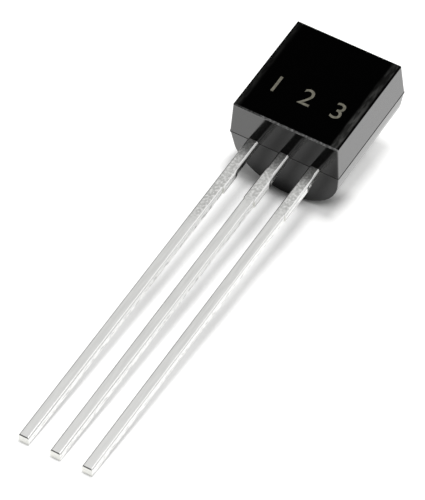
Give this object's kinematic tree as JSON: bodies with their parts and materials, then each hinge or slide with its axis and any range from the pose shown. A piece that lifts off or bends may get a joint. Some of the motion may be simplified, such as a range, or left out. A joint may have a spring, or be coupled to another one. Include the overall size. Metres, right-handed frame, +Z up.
{
  "type": "to-92 transistor",
  "caption": "Small transistor in a moulded black case with a flat face and a round back, and a row of straight stamped leads; it switches or amplifies current in a circuit.",
  "frame": {"origin": "middle of the part's box, on the surface it lies on", "axes": "+X the way the leads point, away from the case; +Y across the leads from the collector to the emitter; +Z up, the side that the flat face looks to. The part lies on the edge of its round back and on its lead tips, so its leads slope down by 8 degrees"},
  "size_m": [0.0198, 0.0046, 0.0045],
  "materials": {
    "epoxy": "satin",
    "tinned_lead": "satin",
    "silicon": "polished",
    "solder": "satin",
    "gold": "polished"
  },
  "bodies": {
    "root": {"epoxy_case": "epoxy", "collector_lead": "tinned_lead", "base_lead": "tinned_lead", "emitter_lead": "tinned_lead", "silicon_die": "silicon", "die_solder": "solder", "base_bond_wire": "gold", "emitter_bond_wire": "gold"}
  },
  "joints": []
}
